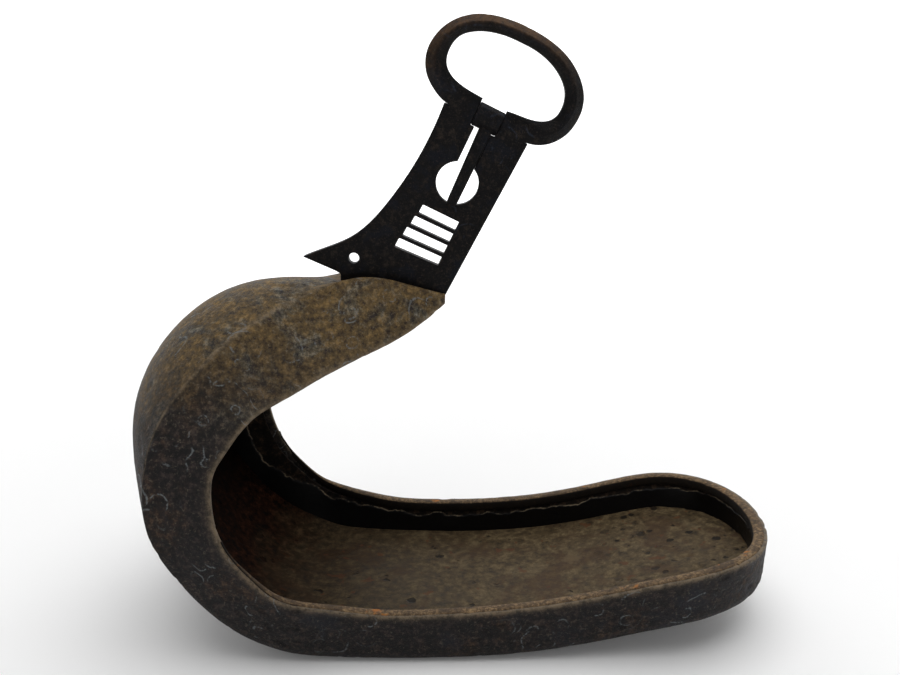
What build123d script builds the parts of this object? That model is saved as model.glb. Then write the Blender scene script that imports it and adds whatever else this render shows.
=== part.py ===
"""Long-soled open-sided iron riding stirrup: an iron shoe whose toe curls up and over into a
domed breast, an openwork plate standing on the breast, and a buckle with a swinging prong.

Frame: X runs from the toe (-X) to the heel (+X), Y = 0 is the mirror plane, +Z is up,
and the origin is on the ground under the middle of the stirrup. Millimetres.
"""
import os
from math import cos, radians, sin, tan

from build123d import *

# ---- driving dimensions -------------------------------------------------------------------

toe_radius = 77.0             # the toe is a half-round of this radius, seen from the side
toe_centre_x = -68.0          # where that half-round has its centre
toe_half_width = 63.7         # half the width over the rims, at the widest place
iron = 3.0                    # thickness of the forged plate

sole_flat_end_x = -10.0       # the sole lies flat from the toe to here, and then sweeps up
ground_line = ((54.0, 5.2), (100.0, 15.0), (142.0, 20.0))
front_half_width = 54.5       # half-widths at ground level: where the sole leaves the toe,
waist_x = -8.0                # at the waist,
waist_half_width = 54.3
heel_centre_x = 86.5          # and where the rounded heel begins
heel_half_width = 49.0
heel_reach = 141.0            # furthest point of the heel
heel_squareness = 0.63        # 0.55 would make the heel a half-ellipse, 1 a sharp rectangle
sole_edge_radius = 6.0        # rounding between sole and walls
front_flare = 15.5            # degrees that the walls lean outwards at those four places
waist_flare = 8.0
side_flare = 10.0
heel_flare = 1.5
rim_line = ((-68.0, 33.0), (-36.0, 25.2), (-6.0, 24.0), (54.0, 30.0), (104.0, 40.8), (162.0, 42.0))

rim_strip_width = 3.5         # flat iron strip inside the top of the walls
rim_strip_height = 5.0
lining = 2.5                  # lacquered lining of the foot walls, under the rim strip
tread = 6.0                   # thickness of the tread board on the sole
toe_coat = 1.5                # lacquered coat inside the toe
coat_gap = 0.4                # between that coat and the iron
seat_gap = 0.2                # play around the tread board

plate_thickness = 4.6         # openwork hanger plate
plate_half_width = 19.2
plate_lean = 26.0             # degrees that the plate leans towards the heel
pin_x = 15.4                  # hinge of the prong
pin_z = 220.7
pin_radius = 1.5
pin_play = 0.05               # running clearance of the prong on its pin
ring_thickness = 8.4
ring_half_width = 34.3        # outside of the buckle ring, across the plate
ring_offset = -0.8            # the buckle sits slightly towards the toe
ring_top = 39.0               # outside of the ring, above the hinge
ring_bottom = -2.4            # seam between ring and plate, below the hinge
ring_hole_half_width = 25.2
ring_hole_top = 32.2
ring_hole_bottom = 6.2
ring_hole_foot_half_width = 16.5
ring_bevel = 1.6

pin_seat = 4.0                # depth of the pin in each side of the buckle's foot

knuckle_width = 9.2           # eye of the prong
knuckle_side_play = 1.0
knuckle_corners = (           # out from the plate, then up along it
    (-1.2, 4.6), (2.2, 4.6), (4.2, 2.8), (4.2, -2.4), (2.4, -4.6), (-1.0, -4.6), (-2.6, -3.2), (-2.6, 3.2)
)
fork_depth = 5.8              # depth of the recess below the hinge
slot_width = 7.6              # slot in which the prong lies
prong_length = 39.3
prong_root_depth = 3.0        # below the hinge
prong_root_height = 1.0
prong_root_width = 5.6
prong_root_thickness = 3.4
prong_tip_width = 4.0
prong_tip_thickness = 2.6
rest_gap = 0.3                # air between the resting prong and the plate

window_radius = 9.0           # round window at the foot of the slot
window_depth = 29.6           # below the hinge
cord_hole_radius = 2.3
cord_hole = (-41.8, 162.2)    # in side view

front_edge = ((-51.9, 167.2), (-42.5, 171.4), (-34.0, 178.1), (-26.0, 187.2), (-16.8, 199.9))
hook_point = (-63.6, 162.8)
hook_heel = (-49.6, 156.6)    # where the hook's underside turns down to the breast
hook_notch = (-47.7, 155.4)
root_sink = 0.3               # depth to which the plate is welded into the breast

vent_count = 4                # long vents under the window
vent_depth = 44.0             # of the first one, below the hinge
vent_pitch = 5.55
vent_height = 4.0
vent_left = 9.0
vent_right = 8.0
vent_spread = 1.0             # each vent is this much longer than the one above
vent_fan = 0.2                # and slopes this much more

# Sections of the toe, from the pointed root of the plate round to the sole. Those of the roof
# stand upright at a distance behind the toe's centre; the others fan about the centre by an angle.
# Drops are measured inwards from the toe's half-round. Widths are shares of toe_half_width.
#   distance, angle, crest drop, ridge drop, ridge width, rim drop, rim width, crown
toe_sections = (
    (65.5, 90, 7.4, 7.0, 0.055, 11.5, 0.07, 2.0),
    (50.0, 90, 3.5, 1.8, 0.115, 21.5, 0.25, 2.0),
    (34.0, 90, 1.4, -1.9, 0.145, 28.0, 0.385, 2.0),
    (18.0, 90, 1.4, 0.6, 0.19, 34.2, 0.52, 2.0),
    (0.0, 90, 0.8, 7.7, 0.34, 42.8, 0.685, 2.0),
    (0.0, 108, 0.2, 15.0, 0.58, 46.5, 0.76, 2.0),
    (0.0, 126, 0.4, 20.2, 0.72, 49.5, 0.825, 2.0),
    (0.0, 144, 1.3, 22.1, 0.80, 50.9, 0.87, 2.0),
    (0.0, 162, 3.2, 23.2, 0.885, 50.5, 0.91, 2.0),
    (0.0, 180, 7.8, 23.3, 0.925, 51.0, 0.95, 2.0),
    (0.0, 198, 11.5, 22.0, 0.94, 50.4, 0.98, 2.0),
    (0.0, 216, 12.5, 21.4, 0.935, 48.5, 1.0, 2.2),
    (0.0, 234, 9.8, 18.2, 0.92, 45.2, 1.0, 2.6),
    (0.0, 252, 4.6, 12.0, 0.90, 40.5, 1.0, 4.0),
    (0.0, 270, 0.0, 5.0, 0.88, 33.0, 1.0, 6.0),
)


# ---- toe: curved shell fanned about the toe's centre ----------------------------------------

CROWN_POINTS = 9


def outline(row):
    """Half outline of one toe section: crest height, ridge and rim as (half-width, height)."""
    _, _, crest_drop, ridge_drop, ridge_share, rim_drop, rim_share, crown = row
    crest = toe_radius - crest_drop
    ridge = (ridge_share * toe_half_width, toe_radius - ridge_drop)
    rim = (rim_share * toe_half_width, toe_radius - rim_drop)
    return crest, ridge, rim, crown


def outward(shape):
    """Outward unit normals of the side and of the crown, where they meet at the ridge."""
    crest, ridge, rim, crown = shape
    side = Vector(ridge[1] - rim[1], rim[0] - ridge[0]).normalized()
    slope = crown * (crest - ridge[1]) / ridge[0]
    return side, Vector(slope, 1).normalized()


def inset(shape, depth, overrun):
    """The same outline moved inwards by a wall's thickness and run on past the rim."""
    crest, ridge, rim, crown = shape
    side, top = outward(shape)
    corner = (side + top) * (depth / (1 + side.dot(top)))
    down = Vector(rim[0] - ridge[0], rim[1] - ridge[1]).normalized()
    end = Vector(*rim) - side * depth + down * overrun
    return crest - depth, (ridge[0] - corner.X, ridge[1] - corner.Y), (end.X, end.Y), crown


def section_plane(row):
    """Plane of one section, with its own X across the stirrup and its own Y outwards."""
    turn = radians(row[1])
    hub = (toe_centre_x + row[0], 0, toe_radius)
    return Plane(origin=hub, x_dir=(0, 1, 0), z_dir=(sin(turn), 0, -cos(turn)))


def dome(shape, reverse=False):
    """Points across the domed crown of an outline, from ridge to ridge."""
    crest, ridge, _, crown = shape
    points = []
    for step in range(CROWN_POINTS):
        share = 2 * step / (CROWN_POINTS - 1) - 1
        points.append((share * ridge[0], crest - (crest - ridge[1]) * abs(share) ** crown))
    return points[::-1] if reverse else points


def draw_wall(row, outer_depth, inner_depth, overrun=0.0):
    """Section through the bent wall of the toe, between two depths below its outside."""
    outer = inset(outline(row), outer_depth, overrun)
    inner = inset(outline(row), inner_depth, overrun)
    outside = dome(outer)
    inside = dome(inner, reverse=True)
    with BuildSketch(section_plane(row)) as section:
        with BuildLine():
            Spline(*outside)
            Line(outside[-1], outer[2])
            Line(outer[2], inner[2])
            Line(inner[2], inside[0])
            Spline(*inside)
            Line(inside[-1], (-inner[2][0], inner[2][1]))
            Line((-inner[2][0], inner[2][1]), (-outer[2][0], outer[2][1]))
            Line((-outer[2][0], outer[2][1]), outside[0])
        make_face()
    return section.sketch


def draw_breast(row):
    """Section through the domed plate between the two ridges."""
    outside = dome(outline(row))
    inside = dome(inset(outline(row), iron, 0), reverse=True)
    with BuildSketch(section_plane(row)) as section:
        with BuildLine():
            Spline(*outside)
            Line(outside[-1], inside[0])
            Spline(*inside)
            Line(inside[-1], outside[0])
        make_face()
    return section.sketch


def draw_side(row, hand):
    """Section through one side plate, from ridge to rim; hand is +1 or -1."""
    _, ridge, rim, _ = outline(row)
    _, inner_ridge, inner_rim, _ = inset(outline(row), iron, 0)
    corners = [ridge, rim, inner_rim, inner_ridge]
    with BuildSketch(section_plane(row)) as section:
        with BuildLine():
            Polyline(*[(hand * x, y) for x, y in corners], close=True)
        make_face()
    return section.sketch


def coat_thickness(row):
    """Thickness of the toe's lining: a coat of lacquer that fills out to meet the tread board."""
    start = 198
    share = max(0, (row[1] - start) / (270 - start))
    return toe_coat + (tread - toe_coat) * share**1.5


with BuildPart() as breast_plate:
    loft([draw_breast(row) for row in toe_sections])

with BuildPart() as left_side_plate:
    loft([draw_side(row, -1) for row in toe_sections])

with BuildPart() as right_side_plate:
    loft([draw_side(row, 1) for row in toe_sections])

lined_sections = toe_sections[2:]
with BuildPart() as toe_lining:
    loft([
        draw_wall(row, iron + coat_gap, iron + coat_thickness(row), -rim_strip_height)
        for row in lined_sections
    ])
    for plate in (breast_plate, left_side_plate, right_side_plate):
        add(plate.part, mode=Mode.SUBTRACT)

# ---- foot: long sole with leaning walls and a half-round heel --------------------------------

foot_top = 80.0               # taller than any wall, trimmed back by the rim line
foot_reach = 2 * toe_half_width
past_end = 20.0               # how far side-view lines run on past the heel


def lean_out(half_width, flare, height, depth):
    """A half-width at a height on a leaning wall, inset by a depth."""
    return half_width + height * tan(radians(flare)) - depth


def foot_plan(depth, height):
    """Plan outline of the foot at a height, inset by a depth, with its walls leaning outwards."""
    front = lean_out(front_half_width, front_flare, height, depth)
    waist = lean_out(waist_half_width, waist_flare, height, depth)
    side = lean_out(heel_half_width, side_flare, height, depth)
    heel = lean_out(heel_reach, heel_flare, height, depth)
    bend_x = heel_centre_x + heel_squareness * (heel - heel_centre_x)
    bend_y = heel_squareness * side
    with BuildSketch(Plane.XY.offset(height)) as plan:
        with BuildLine():
            ThreePointArc((toe_centre_x, -front), (waist_x, -waist), (heel_centre_x, -side))
            Bezier((heel_centre_x, -side), (bend_x, -side), (heel, -bend_y), (heel, 0))
            Bezier((heel, 0), (heel, bend_y), (bend_x, side), (heel_centre_x, side))
            ThreePointArc((heel_centre_x, side), (waist_x, waist), (toe_centre_x, front))
            Line((toe_centre_x, front), (toe_centre_x, -front))
        make_face()
    return plan.sketch


def draw_level(level, offset):
    """Side-view line at a height above the ground line, or above the rim line."""
    if level == "rim":
        line = Spline(*[(x, z + offset) for x, z in rim_line])
        return line @ 0, line @ 1
    flat = Line((toe_centre_x, offset), (sole_flat_end_x, offset))
    past_heel = (ground_line[-1][0] + past_end, ground_line[-1][1])
    points = [(x, z + offset) for x, z in (*ground_line, past_heel)]
    rise = Spline(flat @ 1, *points, tangents=[(1, 0), (1, 0)])
    return flat @ 0, rise @ 1


def foot_block(depth, low, high):
    """Foot inset by a depth all round, between two side-view levels such as ("ground", 3)."""
    with BuildPart() as block:
        loft([foot_plan(depth, 0), foot_plan(depth, foot_top)], ruled=True)
        with BuildSketch(Plane.XZ.offset(-foot_reach)):
            with BuildLine():
                low_front, low_back = draw_level(*low)
                high_front, high_back = draw_level(*high)
                Line(low_front, high_front)
                Line(low_back, high_back)
            make_face()
        extrude(amount=2 * foot_reach, mode=Mode.INTERSECT)
    return block.part


hollow_top = ("ground", foot_top)
below_ground = ("ground", -1)

with BuildPart() as foot_outside:
    add(foot_block(0, ("ground", 0), ("rim", 0)))
    underside = foot_outside.faces().filter_by(lambda face: face.normal_at().Z < -0.5)
    fillet(underside.edges().filter_by(lambda edge: edge.geom_type != GeomType.LINE), sole_edge_radius)

with BuildPart() as sole_plate:
    add(foot_outside.part)
    add(foot_block(-iron, below_ground, ("ground", iron)), mode=Mode.INTERSECT)

with BuildPart() as foot_walls:
    add(foot_outside.part)
    add(foot_block(iron, below_ground, hollow_top), mode=Mode.SUBTRACT)
    add(foot_block(-iron, below_ground, ("ground", iron)), mode=Mode.SUBTRACT)

with BuildPart() as strip_ring:
    add(foot_block(iron, ("rim", -rim_strip_height), ("rim", 0)))
    add(foot_block(iron + rim_strip_width, below_ground, hollow_top), mode=Mode.SUBTRACT)

with BuildPart() as lining_ring:
    add(foot_block(iron, ("ground", iron), ("rim", -rim_strip_height)))
    add(foot_block(iron + lining, below_ground, hollow_top), mode=Mode.SUBTRACT)

with BuildPart() as tread_board:
    add(foot_block(iron + lining + seat_gap, ("ground", iron), ("ground", iron + tread)))

heel_cut = Plane.YZ.offset(heel_centre_x)


def foot_third(ring, place):
    """One stretch of a band that runs round the foot: heel, left or right."""
    with BuildPart() as piece:
        add(ring.part)
        split(bisect_by=heel_cut, keep=Keep.TOP if place == "heel" else Keep.BOTTOM)
        if place != "heel":
            split(bisect_by=Plane.XZ, keep=Keep.TOP if place == "left" else Keep.BOTTOM)
    return piece.part


with BuildPart() as heel_wall:
    add(foot_third(foot_walls, "heel"))

with BuildPart() as left_foot_wall:
    add(foot_third(foot_walls, "left"))

with BuildPart() as right_foot_wall:
    add(foot_third(foot_walls, "right"))

with BuildPart() as rim_strip:
    add(strip_ring.part)

with BuildPart() as left_wall_lining:
    add(foot_third(lining_ring, "left"))

with BuildPart() as right_wall_lining:
    add(foot_third(lining_ring, "right"))

with BuildPart() as heel_lining:
    add(foot_third(lining_ring, "heel"))

# ---- hanger plate, buckle and prong ----------------------------------------------------------
# Drawn on the mirror plane with the origin on the hinge pin: across the plate, then up along it.

lean = radians(plate_lean)
pin_centre = Vector(pin_x, 0, pin_z)
hanger = Plane(origin=pin_centre, x_dir=(cos(lean), 0, -sin(lean)), z_dir=(0, -1, 0))
fork_half_width = knuckle_width / 2 + knuckle_side_play


def across(x, z):
    """A point of the side view, seen from the hinge: across the plate, then up along it."""
    point = hanger.to_local_coords(Vector(x, 0, z))
    return point.X, point.Y


def hanger_section(depth):
    """Plane across the plate, at a depth below the hinge, with its own Y towards the rider's left."""
    origin = pin_centre - hanger.y_dir * depth
    return Plane(origin=origin, x_dir=hanger.x_dir, z_dir=-hanger.y_dir)


def vent_corners(row):
    """Corners of one long vent: square to the plate at the top, fanning out further down."""
    top = -vent_depth - vent_pitch * row
    left = -vent_left - vent_spread * row
    drop = vent_fan * row
    return (
        (left, top - drop),
        (vent_right, top),
        (vent_right, top - vent_height),
        (left - vent_fan, top - vent_height - drop - vent_fan * row / 2),
    )


def draw_oval(half_width, top, bottom, foot_half_width):
    """Outline of the buckle, with a half-ellipse above and rounded shoulders on a flat foot."""
    middle = (top + bottom) / 2
    shoulder = (0.88 * half_width, bottom + 0.35 * (middle - bottom))
    crown = EllipticalCenterArc(
        (ring_offset, middle), half_width, top - middle, start_angle=0, arc_size=180
    )
    left = Spline(
        crown @ 1,
        (ring_offset - shoulder[0], shoulder[1]),
        (-foot_half_width, bottom),
        tangents=[(0, -1), (1, 0)],
    )
    foot = Line(left @ 1, (foot_half_width, bottom))
    Spline(
        foot @ 1,
        (ring_offset + shoulder[0], shoulder[1]),
        crown @ 0,
        tangents=[(1, 0), (0, 1)],
    )


crest_line = [(toe_centre_x + row[0], 2 * toe_radius - row[2]) for row in toe_sections[:3]]
crest_line.append((hook_notch[0], 2 * toe_radius - toe_sections[3][2]))
root_line = [across(x, z - root_sink) for x, z in crest_line]

with BuildPart() as hanger_plate:
    with BuildSketch(hanger):
        with BuildLine():
            top = Line((-plate_half_width, ring_bottom), (plate_half_width, ring_bottom))
            rear = Line(top @ 1, root_line[0])
            root = Spline(*root_line)
            notch = Polyline(root @ 1, across(*hook_notch), across(*hook_heel))
            under = Line(notch @ 1, across(*hook_point))
            front = Spline(under @ 1, *[across(x, z) for x, z in front_edge], top @ 0)
        make_face()
        with Locations((0, -window_depth)):
            Circle(window_radius, mode=Mode.SUBTRACT)
        with Locations((0, -window_depth / 2)):
            Rectangle(slot_width, window_depth, mode=Mode.SUBTRACT)
        with Locations((0, -fork_depth / 2)):
            Rectangle(2 * fork_half_width, fork_depth, mode=Mode.SUBTRACT)
        with Locations(across(*cord_hole)):
            Circle(cord_hole_radius, mode=Mode.SUBTRACT)
        for row in range(vent_count):
            with BuildLine():
                Polyline(*vent_corners(row), close=True)
            make_face(mode=Mode.SUBTRACT)
    extrude(amount=plate_thickness / 2, both=True)

pin_line = Plane(origin=pin_centre, x_dir=(0, 1, 0), z_dir=hanger.x_dir)

with BuildPart() as buckle_ring:
    with BuildSketch(hanger):
        with BuildLine():
            draw_oval(ring_half_width, ring_top, ring_bottom, plate_half_width)
        make_face()
        with BuildLine():
            draw_oval(ring_hole_half_width, ring_hole_top, ring_hole_bottom, ring_hole_foot_half_width)
        make_face(mode=Mode.SUBTRACT)
    extrude(amount=ring_thickness / 2, both=True)
    faces = buckle_ring.faces().sort_by(Axis.Y)
    rims = faces[0].edges() + faces[-1].edges()
    chamfer(rims.filter_by(lambda edge: edge.geom_type != GeomType.LINE), ring_bevel)
    with BuildSketch(hanger):
        Rectangle(2 * fork_half_width, 2 * ring_hole_bottom)
    extrude(amount=ring_thickness, both=True, mode=Mode.SUBTRACT)
    with BuildSketch(pin_line):
        Circle(pin_radius)
    extrude(amount=fork_half_width + pin_seat, both=True, mode=Mode.SUBTRACT)

with BuildPart() as prong_pin:
    with BuildSketch(pin_line):
        Circle(pin_radius)
    extrude(amount=fork_half_width + pin_seat, both=True)

# The eye is drawn looking along the pin: out towards the rider's left, then up the plate.
knuckle_plane = Plane(origin=pin_centre, x_dir=hanger.z_dir, z_dir=-hanger.x_dir)
tip_height = plate_thickness / 2 + rest_gap + prong_tip_thickness / 2

with BuildPart() as prong:
    with BuildSketch(knuckle_plane):
        with BuildLine():
            Polyline(*knuckle_corners, close=True)
        make_face()
    extrude(amount=knuckle_width / 2, both=True)
    root_plane = hanger_section(prong_root_depth)
    tip_plane = hanger_section(prong_length)
    with BuildSketch(root_plane) as root_section:
        with Locations((0, prong_root_height)):
            Rectangle(prong_root_width, prong_root_thickness)
    with BuildSketch(tip_plane) as tip_section:
        with Locations((0, tip_height)):
            Rectangle(prong_tip_width, prong_tip_thickness)
    loft()
    with BuildSketch(pin_line):
        Circle(pin_radius + pin_play)
    extrude(amount=knuckle_width, both=True, mode=Mode.SUBTRACT)

# ---- write every piece ------------------------------------------------------------------------

pieces = {
    "breast_plate": breast_plate,
    "left_side_plate": left_side_plate,
    "right_side_plate": right_side_plate,
    "sole_plate": sole_plate,
    "left_foot_wall": left_foot_wall,
    "right_foot_wall": right_foot_wall,
    "heel_wall": heel_wall,
    "rim_strip": rim_strip,
    "tread_board": tread_board,
    "toe_lining": toe_lining,
    "left_wall_lining": left_wall_lining,
    "right_wall_lining": right_wall_lining,
    "heel_lining": heel_lining,
    "hanger_plate": hanger_plate,
    "buckle_ring": buckle_ring,
    "prong_pin": prong_pin,
    "prong": prong,
}

os.makedirs("parts", exist_ok=True)
for name, piece in pieces.items():
    piece.part.label = name
    export_step(piece.part, f"parts/{name}.step")
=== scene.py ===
"""Looks of a long-soled, open-sided iron riding stirrup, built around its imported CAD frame."""
import math

import bmesh
import bpy
import numpy as np
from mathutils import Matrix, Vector


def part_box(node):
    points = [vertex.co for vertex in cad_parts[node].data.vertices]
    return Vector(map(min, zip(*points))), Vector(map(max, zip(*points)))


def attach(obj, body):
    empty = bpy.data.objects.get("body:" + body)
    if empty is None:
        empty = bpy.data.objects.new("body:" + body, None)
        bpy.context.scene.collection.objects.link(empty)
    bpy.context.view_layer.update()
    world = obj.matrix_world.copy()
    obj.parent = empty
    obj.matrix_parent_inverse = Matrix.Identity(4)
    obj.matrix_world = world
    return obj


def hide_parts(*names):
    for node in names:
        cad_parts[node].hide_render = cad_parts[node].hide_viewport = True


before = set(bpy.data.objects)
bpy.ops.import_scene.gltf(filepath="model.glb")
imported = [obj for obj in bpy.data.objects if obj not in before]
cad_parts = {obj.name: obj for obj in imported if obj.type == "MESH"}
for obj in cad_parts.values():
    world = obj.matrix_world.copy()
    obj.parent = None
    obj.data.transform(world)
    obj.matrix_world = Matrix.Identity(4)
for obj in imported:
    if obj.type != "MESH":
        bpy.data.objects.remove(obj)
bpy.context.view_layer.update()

bl_info = {
    "name": "Iron riding stirrup",
    "version": (1, 0, 0),
    "blender": (4, 5, 0),
    "location": "3D View > Sidebar > Stirrup",
    "description": "Builds the shoe, lining, buckle, prong and studio of an iron riding stirrup",
    "category": "Add Mesh",
}

RING_LOW, RING_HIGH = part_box("buckle_ring")
PLATE_LOW, PLATE_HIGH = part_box("hanger_plate")
MM = 0.001
SMOOTH = {"interpolation_type": "SMOOTHSTEP"}    # settings of a range with soft ends
COLOUR = {"data_type": "RGBA"}                   # settings of a mix of colours

# ---- shape of the shoe, in millimetres -------------------------------------------------------

TOE_RADIUS = 77.0
TOE_CENTRE_X = -68.0
TOE_HALF_WIDTH = 63.7

# Sections of the toe from the pointed root of the plate to the sole: how far the section stands
# behind the toe's centre, its angle there, the drops of crest, ridge and rim inwards from the
# toe's half-round with the half-widths of ridge and rim as shares, how flat the crown is, and
# the radius that rounds the ridge.
TOE_SECTIONS = np.array((
    (65.5, 90, 7.4, 7.0, 0.055, 11.5, 0.07, 2.0, 0.6),
    (50.0, 90, 3.5, 1.8, 0.115, 21.5, 0.25, 2.0, 0.8),
    (34.0, 90, 1.4, -1.9, 0.145, 28.0, 0.385, 2.0, 1.2),
    (18.0, 90, 1.4, 0.6, 0.19, 34.2, 0.52, 2.0, 1.6),
    (0.0, 90, 0.8, 7.7, 0.34, 42.8, 0.685, 2.0, 2.2),
    (0.0, 108, 0.2, 15.0, 0.58, 46.5, 0.76, 2.0, 2.0),
    (0.0, 126, 0.4, 20.2, 0.72, 49.5, 0.825, 2.0, 1.5),
    (0.0, 144, 1.3, 22.1, 0.80, 50.9, 0.87, 2.0, 1.1),
    (0.0, 162, 3.2, 23.2, 0.885, 50.5, 0.91, 2.0, 0.9),
    (0.0, 180, 7.8, 23.3, 0.925, 51.0, 0.95, 2.0, 0.8),
    (0.0, 198, 11.5, 22.0, 0.94, 50.4, 0.98, 2.0, 0.8),
    (0.0, 216, 12.5, 21.4, 0.935, 48.5, 1.0, 2.2, 1.0),
    (0.0, 234, 9.8, 18.2, 0.92, 45.2, 1.0, 2.6, 1.8),
    (0.0, 252, 4.6, 12.0, 0.90, 40.5, 1.0, 4.0, 3.0),
    (0.0, 270, 0.0, 5.0, 0.88, 33.0, 1.0, 6.0, 4.4),
))

SOLE_FLAT_END = -10.0
GROUND_LINE = ((54.0, 5.2), (100.0, 15.0), (142.0, 20.0), (175.0, 20.0))
RIM_LINE = ((-68.0, 33.0), (-36.0, 25.2), (-6.0, 24.0), (54.0, 30.0), (104.0, 40.8), (162.0, 42.0))
SIDE_X = (-68.0, -8.0, 86.5)                 # where the foot's half-widths are given
SIDE_HALF_WIDTH = (54.5, 54.3, 49.0)
SIDE_FLARE = (15.5, 8.0, 10.0)               # degrees
HEEL_REACH = 141.0
HEEL_FLARE = 1.5
HEEL_SQUARENESS = 0.63
SOLE_EDGE_RADIUS = 6.0
FOOT_X = (-50.0, -30.0, -8.0, 14.0, 38.0, 62.0, 84.0)
HEEL_STEPS = (0.15, 0.32, 0.5, 0.66, 0.82, 1.0)
INSIDE_START = 0.12                            # share of the way from the toe where lacquer starts

# Plate frame: the hinge pin, then across the plate and up along it.
PIN = np.array((15.4, 0.0, 220.7))
LEAN = math.radians(26.0)
ACROSS = np.array((math.cos(LEAN), 0.0, -math.sin(LEAN)))
UP = np.array((math.sin(LEAN), 0.0, math.cos(LEAN)))
OUT = np.array((0.0, -1.0, 0.0))

RING_OUTSIDE = (
    (5.6, -2.4), (12, -2.4), (18.6, -2.3), (25.1, -0.1), (29.5, 3.8), (32.3, 8.7), (33.4, 13.9),
    (33.2, 19.5), (31.6, 24.2), (28, 29.1), (23.8, 32.6), (18.7, 35.5), (13.1, 37.4), (6.7, 38.5),
    (0.7, 38.9), (-10.5, 38.2), (-20.9, 35.3), (-25.7, 32.5), (-29.6, 28.8), (-32.6, 24.2),
    (-34.4, 18.6), (-34.6, 13.1), (-33, 7.9), (-29.7, 3.4), (-24.9, 0), (-19, -2.2), (-12, -2.4),
    (-5.6, -2.4),
)
RING_INSIDE = (
    (5.6, 5.8), (9.4, 6.3), (15, 6.9), (19.2, 7.9), (22.4, 9.6), (24.5, 12.3), (25.2, 16.3),
    (24.5, 20.2), (22.6, 23.8), (19.6, 26.7), (10.7, 31), (-1.5, 32.2), (-12.9, 30.9), (-21.5, 27.1),
    (-24.6, 24.2), (-26.1, 20.6), (-26.4, 16.8), (-25.8, 13.5), (-24, 10.6), (-20.8, 8.4),
    (-16.7, 7.1), (-10, 6.3), (-5.6, 6.1),
)
RING_MIDDLE = (-0.8, 18.0)
# Half of the bar's section along its length and at its feet: shares of the way in from the outside
# and of half the thickness.
RING_BAR = ((0.0, -0.3), (0.42, -1.0), (0.6, -1.0), (1.0, -0.36))
RING_FOOT = ((0.0, -1.0), (0.42, -1.0), (0.86, -1.0), (1.0, -0.7))
BAR_WIDTH = 8                                  # scale at which its corners are rounded
# The prong's eye: outline as outward and upward distances from the pin, then the places of its
# rings across the pin, each with its size.
EYE_OUTLINE = (
    (-1.2, 4.6), (2.2, 4.6), (4.2, 2.8), (4.2, -3.0), (2.2, -5.2), (0.6, -5.65), (-1.0, -5.6),
    (-2.6, -3.6), (-2.6, 3.2),
)
EYE_ACROSS = np.array((-5.55, -5.4, -5.1, -3.0, 0.0, 3.0, 5.1, 5.4, 5.55))
EYE_SIZE = np.array((0.92, 0.96, 1.0, 1.0, 1.0, 1.0, 1.0, 0.96, 0.92))
# Its shaft: the section at full size, depths below the pin, and what the chisel tip takes away.
SHAFT_SECTION = ((-0.5, -0.5), (0.5, -0.5), (0.5, 0.26), (0.3, 0.5), (-0.3, 0.5), (-0.5, 0.26))
SHAFT_DEPTH = np.array((1.0, 6.0, 12.0, 18.0, 24.0, 30.0, 35.0, 36.6, 38.0, 39.0, 39.3))
TIP_NARROWER = np.array((0, 0, 0, 0, 0, 0, 0, 0.05, 0.2, 0.5, 0.9))
TIP_THINNER = np.array((0, 0, 0, 0, 0, 0, 0, 0.3, 1.0, 1.6, 1.9))
TIP_LOWER = np.array((0, 0, 0, 0, 0, 0, 0, 0.1, 0.4, 0.65, 0.8))


# ---- numbers and arrays -----------------------------------------------------------------------

def linear(code):
    """Turns an sRGB hex colour into linear red, green, blue and alpha."""
    channels = np.array([int(code[i:i + 2], 16) for i in (0, 2, 4)]) / 255
    bent = np.where(channels <= 0.04045, channels / 12.92, ((channels + 0.055) / 1.055) ** 2.4)
    return (*bent, 1.0)


def spline(knots, values, at):
    """Natural cubic spline: the smooth curve of least bending through values at the knots."""
    knots = np.asarray(knots, float)
    values = np.asarray(values, float).reshape(len(knots), -1)
    gap = np.diff(knots)[:, None]
    slope = np.diff(values, axis=0) / gap
    inner = np.arange(1, len(knots) - 1)
    matrix = np.eye(len(knots))
    matrix[inner, inner - 1] = gap[:-1, 0]
    matrix[inner, inner] = 2 * (gap[:-1, 0] + gap[1:, 0])
    matrix[inner, inner + 1] = gap[1:, 0]
    right = np.zeros_like(values)
    right[1:-1] = 6 * np.diff(slope, axis=0)
    bend = np.linalg.solve(matrix, right)
    cell = np.clip(np.searchsorted(knots, at, side="right") - 1, 0, len(knots) - 2)
    t = (np.asarray(at, float) - knots[cell])[:, None]
    start = slope[cell] - gap[cell] * (2 * bend[cell] + bend[cell + 1]) / 6
    twist = (bend[cell + 1] - bend[cell]) / (6 * gap[cell])
    return values[cell] + t * (start + t * (bend[cell] / 2 + t * twist))


def ease(low, high, values):
    """Smooth step from 0 below low to 1 above high."""
    t = np.clip((values - low) / (high - low), 0, 1)
    return t * t * (3 - 2 * t)


def unit(vectors):
    """The same vectors with length 1."""
    return vectors / np.maximum(np.linalg.norm(vectors, axis=-1, keepdims=True), 1e-9)


def dot(a, b):
    """Row by row dot product, kept as a column."""
    return np.sum(a * b, axis=-1, keepdims=True)


def noise(points, size, seed):
    """Smooth noise from -1 to 1: random values at the corners of cubes of that size, eased between."""
    table = np.random.default_rng(seed).uniform(-1, 1, (32, 32, 32))
    place = points / size
    cell = np.floor(place).astype(int)
    share = place - cell
    share = share * share * (3 - 2 * share)
    total = np.zeros(points.shape[:-1])
    for corner in np.ndindex(2, 2, 2):
        at = (cell + corner) % 32
        weight = np.prod(np.where(corner, share, 1 - share), axis=-1)
        total += weight * table[at[..., 0], at[..., 1], at[..., 2]]
    return total


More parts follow.
